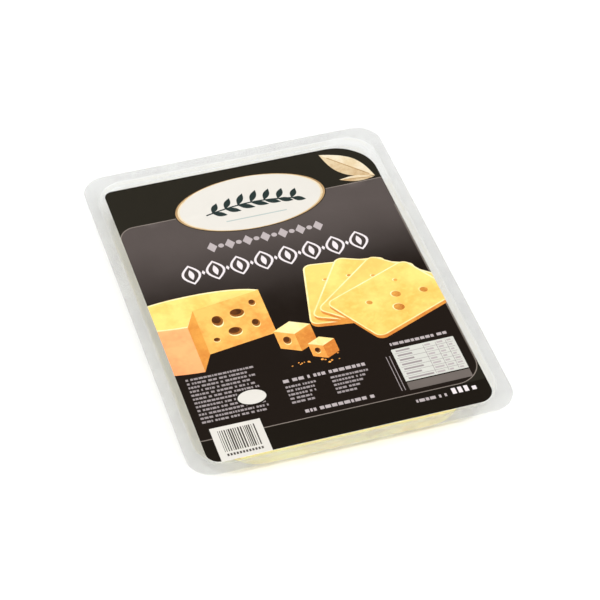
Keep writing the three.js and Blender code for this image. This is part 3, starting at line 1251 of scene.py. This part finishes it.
def weight_fields():
    """A line of small bars in the corner, which ends in three taller ones and a low one."""
    foot = 173.5
    return [
        *word_fields(97.5, 112.5, 172, 1.8, seeded_draws(23)),
        *[(bar(u, 169.9, u + 1.9, foot), "title") for u in (114.6, 117.5, 120.4)],
        (bar(123.9, 171.2, 125.9, foot), "title"),
    ]


def stripe_fields():
    """A white block of upright stripes of uneven width."""
    fields = [(bar(5.6, 162.2, 28.6, LABEL_LENGTH + BLEED), "oval")]
    draws = seeded_draws(77)
    u, right = 8.6, 25.6
    while u < right:
        width = 0.25 + 0.55 * next(draws) ** 1.5
        fields.append((bar(u, 164.4, u + width, 177.2), "stripe"))
        u += width + 0.28 + 0.5 * next(draws)
    marks = [9 + 1.4 * i for i in range(12)]
    return fields + [(bar(u, 178.4, u + 0.9, 179.8), "stripe") for u in marks]


def print_fields():
    """The label's outline and all its fields, from the ground up, as places in x and y."""
    outline = round_rectangle(LABEL_WIDTH, LABEL_LENGTH, LABEL_CORNERS, LABEL_MIDDLE)
    fields = [
        *panel_fields(),
        *leaf_fields((129.3, 25.4), 31, 6.1, 46),
        *leaf_fields((128.6, 25.8), 17, 2, 9),
        *oval_fields(),
        *subtitle_fields(),
        *title_fields(),
        *wheel_fields(),
        *fan_fields(),
        *cube_fields(59, 113, 14),
        *cube_fields(69, 125, 10),
        *crumb_fields(),
        *small_print_fields(),
        *table_fields(),
        *weight_fields(),
        *stripe_fields(),
    ]
    left, top = LABEL_LOW[0], LABEL_HIGH[1]
    placed = [([(left + u, top - v) for u, v in places], ink) for places, ink in fields]
    return [(outline, "ground"), *placed]


def label_inks(settings):
    """Every ink's material by its name, with the label's paper first."""
    recipes = {
        "ground": (plain_ink, settings.ground),
        "foot": (plain_ink, settings.foot),
        "panel": (panel_ink, settings.panel_light, settings.panel),
        "outline": (plain_ink, settings.outline),
        "oval": (plain_ink, settings.oval, 0.02),
        "gilt": (painted_ink, settings.gilt, linear(148, 114, 74)),
        "emblem": (plain_ink, linear(38, 50, 48)),
        "faint": (plain_ink, linear(176, 186, 182)),
        "title": (plain_ink, settings.title, 0.03),
        "subtitle": (plain_ink, linear(178, 168, 168)),
        "small": (plain_ink, settings.small),
        "rind": (painted_ink, settings.rind, linear(240, 146, 96), 9, (96, 130)),
        "amber": (painted_ink, settings.amber, linear(234, 152, 72), 6),
        "amber_shade": (painted_ink, linear(226, 158, 72), linear(204, 122, 52)),
        "amber_light": (painted_ink, linear(246, 208, 114), settings.amber, 9),
        "yellow": (painted_ink, settings.yellow, linear(243, 188, 92), 8),
        "cream": (painted_ink, settings.cream, linear(248, 218, 140), 6),
        "ivory": (painted_ink, linear(227, 215, 189), linear(214, 192, 152), 5, (2, 32)),
        "tan": (painted_ink, linear(212, 192, 156), linear(188, 156, 114), 4, (2, 28)),
        "hole": (painted_ink, linear(160, 100, 44), linear(120, 68, 28), 3),
        "hole_deep": (painted_ink, linear(96, 54, 24), linear(62, 34, 16), 3),
        "hole_light": (painted_ink, linear(222, 160, 74), linear(184, 112, 46), 3),
        "table": (plain_ink, linear(204, 204, 196), 0.03),
        "band": (plain_ink, linear(106, 98, 93)),
        "stripe": (plain_ink, linear(72, 66, 60)),
    }
    inks = {"paper": plain_ink("label_paper", (0.8, 0.79, 0.77))}
    for name, (make_ink, *recipe) in recipes.items():
        inks[name] = make_ink(f"{name}_ink", *recipe)
    return inks


def build_label(settings, film_settings):
    """The label as a thin sheet whose top face is split into its printed fields."""
    inks = label_inks(settings)
    slots = {ink: i for i, ink in enumerate(inks)}
    fields = [(outline, slots[ink]) for outline, ink in print_fields()]
    return sheet_object(
        "printed_label", fields, grid_points(LABEL_LOW, LABEL_HIGH, LABEL_SPACING),
        lambda x, y: LABEL_HIGH[2] - film_dip(x, y, film_settings),
        LABEL_HIGH[2] - LABEL_LOW[2], list(inks.values()), slots["paper"])


class PackLabelOperator(bpy.types.Operator):
    """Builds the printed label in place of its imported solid"""

    bl_idname = "cheese_pack.label"
    bl_label = "Build Label"

    def execute(self, context):
        settings = context.scene.cheese_pack
        label = build_label(settings.label, settings.film)
        finish_piece(label, "printed_label", "label")
        return {"FINISHED"}


# The stage


def floor_material(colour):
    """A plain pale floor with the faintest unevenness."""
    shader = Shader("pale_floor")
    cloud = shader.noise(120, 3)
    body = shader.add("BsdfPrincipled", {
        "Base Color": shader.colours(cloud, colour, scaled(colour, 0.99)),
        "Roughness": shader.between(cloud, 0.8, 0.9),
        "Specular IOR Level": 0.1,
    })
    return shader.finished(body.outputs[0])


def build_floor(colour):
    """The floor that the pack lies on."""
    points = [(side_x * FLOOR_REACH, side_y * FLOOR_REACH, -FLOOR_DROP)
              for side_x, side_y in ((-1, -1), (1, -1), (1, 1), (-1, 1))]
    floor = mesh_object("studio_floor", points, [(0, 1, 2, 3)], [floor_material(colour)])


def add_light(name, kind, strength, place, mirrored=True, **shape):
    """A soft light that faces the pack from a place, and that gloss mirrors or doesn't."""
    lamp = bpy.data.lights.new(name, kind)
    lamp.energy = strength
    for key, value in shape.items():
        setattr(lamp, key, value)
    light = bpy.data.objects.new(name, lamp)
    light.location = place
    light.rotation_mode = "QUATERNION"
    light.rotation_quaternion = Vector(place).to_track_quat("Z", "Y")
    light.visible_camera = False
    light.visible_glossy = mirrored
    bpy.context.scene.collection.objects.link(light)


def set_world(settings):
    """A light tent, dimmer at the horizon, with a dark card where the label would mirror it."""
    world = bpy.data.worlds.new("studio_surround")
    work = NodeWork(world, "OutputWorld")
    way = work.add("TexCoord").outputs["Generated"]
    height = work.add("SeparateXYZ", {0: way}).outputs["Z"]
    tent = work.between(height, settings.horizon, settings.surround, *HORIZON_EDGE, "SMOOTHSTEP")
    near_card = work.add("VectorMath", {0: way, 1: CARD_DIRECTION}, operation="DOT_PRODUCT")
    light = work.between(
        near_card.outputs["Value"], tent, settings.card, *CARD_EDGE, "SMOOTHSTEP")
    white = opaque((1, 1, 1))
    surround = work.add("Background", {"Color": white, "Strength": light}).outputs[0]
    backdrop = work.add("Background", {"Color": white}).outputs[0]
    seen = work.add("LightPath").outputs["Is Camera Ray"]
    work.shows(work.add("MixShader", {0: seen, 1: surround, 2: backdrop}).outputs[0])
    bpy.context.scene.world = world


def add_camera(settings):
    """The camera at the photograph's angle."""
    azimuth, elevation, roll = settings.azimuth, settings.elevation, settings.roll
    back = Vector((
        math.sin(azimuth) * math.cos(elevation), -math.cos(azimuth) * math.cos(elevation),
        math.sin(elevation)))
    right = Vector((0, 0, 1)).cross(back).normalized()
    up = back.cross(right)
    side = right * math.cos(roll) + up * math.sin(roll)
    head = up * math.cos(roll) - right * math.sin(roll)
    target = Vector((*CAMERA_TARGET, LABEL_HIGH[2])) * MM
    lens = bpy.data.cameras.new("pack_camera")
    lens.sensor_width = SENSOR_WIDTH
    lens.lens = settings.lens
    lens.dof.use_dof = False
    camera = bpy.data.objects.new("pack_camera", lens)
    camera.matrix_world = (
        Matrix.Translation(target + back * settings.distance)
        @ Matrix((side, head, back)).transposed().to_4x4())
    bpy.context.scene.collection.objects.link(camera)
    bpy.context.scene.camera = camera


class PackStageOperator(bpy.types.Operator):
    """Adds the floor, the lights and the camera"""

    bl_idname = "cheese_pack.stage"
    bl_label = "Build Stage"

    def execute(self, context):
        settings = context.scene.cheese_pack.stage
        build_floor(settings.floor)
        set_world(settings)
        add_light("key_light", "SUN", settings.key, KEY_PLACE, angle=KEY_SPREAD)
        add_light("fill_light", "SUN", settings.fill, FILL_PLACE, False, angle=FILL_SPREAD)
        add_light("back_light", "AREA", settings.back, BACK_PLACE, size=BACK_SIZE)
        add_camera(settings)
        context.scene.view_settings.view_transform = "Standard"
        context.scene.cycles.transparent_max_bounces = 32
        return {"FINISHED"}


# The add-on


class PackPanel(bpy.types.Panel):
    """Lists the pack's pieces and their settings"""

    bl_idname = "VIEW3D_PT_cheese_pack"
    bl_label = "Cheese Pack"
    bl_space_type = "VIEW_3D"
    bl_region_type = "UI"
    bl_category = "Cheese Pack"

    def draw(self, context):
        settings = context.scene.cheese_pack
        for key, operator in PIECES:
            box = self.layout.box()
            box.operator(operator.bl_idname)
            group = getattr(settings, key)
            for name in group.bl_rna.properties.keys():
                if name not in ("rna_type", "name"):
                    box.prop(group, name)


PIECES = (
    ("tray", PackTrayOperator),
    ("cheese", PackCheeseOperator),
    ("film", PackFilmOperator),
    ("label", PackLabelOperator),
    ("stage", PackStageOperator),
)
CLASSES = (
    PackTraySettings, PackFilmSettings, PackCheeseSettings, PackLabelSettings,
    PackStageSettings, PackSettings, *(operator for _key, operator in PIECES), PackPanel,
)


def register():
    """Makes the settings, the operators and the panel known to Blender."""
    for item in CLASSES:
        bpy.utils.register_class(item)
    bpy.types.Scene.cheese_pack = PointerProperty(type=PackSettings)


def unregister():
    """Takes them away again."""
    del bpy.types.Scene.cheese_pack
    for item in reversed(CLASSES):
        bpy.utils.unregister_class(item)


def main():
    """Builds the pack and its stage."""
    register()
    bpy.ops.cheese_pack.tray()
    bpy.ops.cheese_pack.cheese()
    bpy.ops.cheese_pack.film()
    bpy.ops.cheese_pack.label()
    bpy.ops.cheese_pack.stage()


if __name__ == "__main__":
    main()
